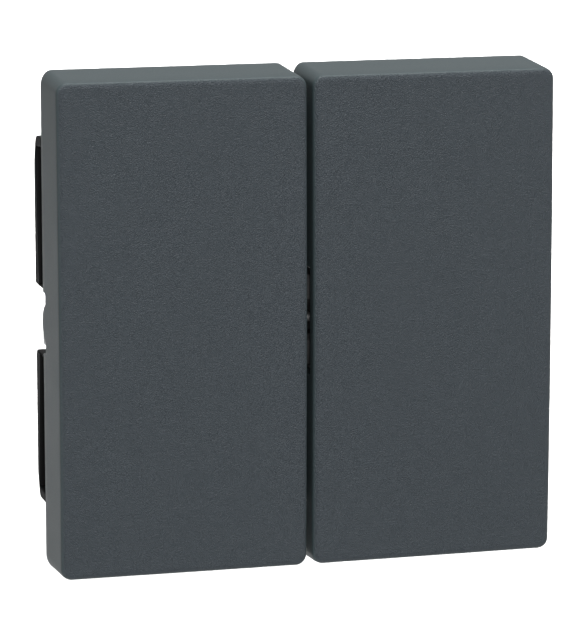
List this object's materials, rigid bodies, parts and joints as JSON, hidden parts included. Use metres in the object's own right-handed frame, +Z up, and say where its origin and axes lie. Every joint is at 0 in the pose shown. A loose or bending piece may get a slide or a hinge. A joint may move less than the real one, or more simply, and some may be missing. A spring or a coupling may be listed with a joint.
{
  "type": "rocker wall switch",
  "caption": "Flush wall switch with a pair of tall spring-return rockers on a steel plate, with push-in terminals, see-saw contacts and spreading claws.",
  "frame": {"origin": "centre of the support plate's rear face, in the wall surface", "axes": "+X right, +Y into the wall, +Z up; the rockers face -Y"},
  "size_m": [0.07, 0.0426, 0.0694],
  "materials": {
    "cap_plastic": "fine sandblast grain on the front, satin on the sides",
    "black_plastic": "satin black",
    "clear_plastic": "milky clear",
    "pale_plastic": "satin",
    "housing_plastic": "satin grey",
    "lever_plastic": "satin orange",
    "zinc_steel": "zinc plated sheet",
    "brass": "stamped",
    "contact_copper": "stamped copper alloy",
    "spring_steel": "drawn",
    "bright_steel": "bright turned"
  },
  "bodies": {
    "insert": {"left_light_guide": "clear_plastic", "right_light_guide": "clear_plastic", "left_pivot_shaft": "bright_steel", "right_pivot_shaft": "bright_steel", "left_upper_spring": "spring_steel", "left_lower_spring": "spring_steel", "right_upper_spring": "spring_steel", "right_lower_spring": "spring_steel", "left_upper_terminal": "brass", "left_lower_terminal": "brass", "right_upper_terminal": "brass", "right_lower_terminal": "brass", "clamp_spring_1": "spring_steel", "clamp_spring_2": "spring_steel", "clamp_spring_3": "spring_steel", "clamp_spring_4": "spring_steel", "clamp_spring_5": "spring_steel", "clamp_spring_6": "spring_steel", "left_claw_pin": "bright_steel", "right_claw_pin": "bright_steel", "centre_bracket": "black_plastic", "bracket_pin": "bright_steel", "bearing_frame": "housing_plastic", "support_plate": "zinc_steel", "mechanism_cover": "pale_plastic", "base": "housing_plastic", "common_rail": "brass", "assembly_screws": "bright_steel"},
    "left_rocker": {"left_rocker_cap": "cap_plastic", "left_carrier": "black_plastic", "left_actuator": "pale_plastic"},
    "left_contact": {"left_contact_arm": "contact_copper"},
    "left_upper_plunger": {"left_upper_plunger": "pale_plastic"},
    "left_lower_plunger": {"left_lower_plunger": "pale_plastic"},
    "left_claw_screw": {"left_claw_screw": "bright_steel"},
    "left_claw_nut": {"left_claw_nut": "brass"},
    "left_claw": {"left_claw": "zinc_steel"},
    "right_rocker": {"right_rocker_cap": "cap_plastic", "right_carrier": "black_plastic", "right_actuator": "pale_plastic"},
    "right_contact": {"right_contact_arm": "contact_copper"},
    "right_upper_plunger": {"right_upper_plunger": "pale_plastic"},
    "right_lower_plunger": {"right_lower_plunger": "pale_plastic"},
    "right_claw_screw": {"right_claw_screw": "bright_steel"},
    "right_claw_nut": {"right_claw_nut": "brass"},
    "right_claw": {"right_claw": "zinc_steel"},
    "upper_release": {"upper_release_lever": "lever_plastic"},
    "lower_release": {"lower_release_lever": "lever_plastic"}
  },
  "joints": [
    {"name": "left_rocker_tilt", "type": "hinge", "parent": "insert", "child": "left_rocker", "pos_m": [-0.0177, -0.0089, 0], "axis": [-1, 0, 0], "range_deg": [-4, 4], "stiffness_Nm_per_rad": 1},
    {"name": "left_contact_rock", "type": "hinge", "parent": "insert", "child": "left_contact", "pos_m": [-0.011, 0.0072, 0], "axis": [-1, 0, 0], "range_deg": [-4.05, 4.05]},
    {"name": "left_upper_plunger_slide", "type": "slide", "parent": "insert", "child": "left_upper_plunger", "axis": [0, 1, 0], "range_m": [-0.00075, 0.00075]},
    {"name": "left_lower_plunger_slide", "type": "slide", "parent": "insert", "child": "left_lower_plunger", "axis": [0, 1, 0], "range_m": [-0.00075, 0.00075]},
    {"name": "left_claw_screw_turn", "type": "hinge", "parent": "insert", "child": "left_claw_screw", "pos_m": [-0.0239, 0, 0], "axis": [0, 1, 0], "range_deg": [0, 3241]},
    {"name": "left_claw_nut_slide", "type": "slide", "parent": "insert", "child": "left_claw_nut", "axis": [0, -1, 0], "range_m": [0, 0.0045]},
    {"name": "left_claw_spread", "type": "hinge", "parent": "insert", "child": "left_claw", "pos_m": [-0.0264, 0.0022, 0], "axis": [0, 0, 1], "range_deg": [0, 22.05]},
    {"name": "right_rocker_tilt", "type": "hinge", "parent": "insert", "child": "right_rocker", "pos_m": [0.0177, -0.0089, 0], "axis": [-1, 0, 0], "range_deg": [-4, 4], "stiffness_Nm_per_rad": 1},
    {"name": "right_contact_rock", "type": "hinge", "parent": "insert", "child": "right_contact", "pos_m": [0.011, 0.0072, 0], "axis": [-1, 0, 0], "range_deg": [-4.05, 4.05]},
    {"name": "right_upper_plunger_slide", "type": "slide", "parent": "insert", "child": "right_upper_plunger", "axis": [0, 1, 0], "range_m": [-0.00075, 0.00075]},
    {"name": "right_lower_plunger_slide", "type": "slide", "parent": "insert", "child": "right_lower_plunger", "axis": [0, 1, 0], "range_m": [-0.00075, 0.00075]},
    {"name": "right_claw_screw_turn", "type": "hinge", "parent": "insert", "child": "right_claw_screw", "pos_m": [0.0239, 0, 0], "axis": [0, 1, 0], "range_deg": [0, 3241]},
    {"name": "right_claw_nut_slide", "type": "slide", "parent": "insert", "child": "right_claw_nut", "axis": [0, -1, 0], "range_m": [0, 0.0045]},
    {"name": "right_claw_spread", "type": "hinge", "parent": "insert", "child": "right_claw", "pos_m": [0.0264, 0.0022, 0], "axis": [0, 0, -1], "range_deg": [0, 22.05]},
    {"name": "upper_release_slide", "type": "slide", "parent": "insert", "child": "upper_release", "axis": [0, -1, 0], "range_m": [0, 0.0015], "stiffness_N_per_m": 600},
    {"name": "lower_release_slide", "type": "slide", "parent": "insert", "child": "lower_release", "axis": [0, -1, 0], "range_m": [0, 0.0015], "stiffness_N_per_m": 600}
  ],
  "couplings": [
    {"joint": "left_contact_rock", "follows": "left_rocker_tilt", "ratio": 1},
    {"joint": "left_upper_plunger_slide", "follows": "left_rocker_tilt", "m_per_rad": 0.01},
    {"joint": "left_lower_plunger_slide", "follows": "left_rocker_tilt", "m_per_rad": -0.01},
    {"joint": "left_claw_screw_turn", "follows": "left_claw_nut_slide", "rad_per_m": 12566},
    {"joint": "left_claw_spread", "follows": "left_claw_nut_slide", "rad_per_m": 85.327},
    {"joint": "right_contact_rock", "follows": "right_rocker_tilt", "ratio": 1},
    {"joint": "right_upper_plunger_slide", "follows": "right_rocker_tilt", "m_per_rad": 0.01},
    {"joint": "right_lower_plunger_slide", "follows": "right_rocker_tilt", "m_per_rad": -0.01},
    {"joint": "right_claw_screw_turn", "follows": "right_claw_nut_slide", "rad_per_m": 12566},
    {"joint": "right_claw_spread", "follows": "right_claw_nut_slide", "rad_per_m": 85.327}
  ]
}
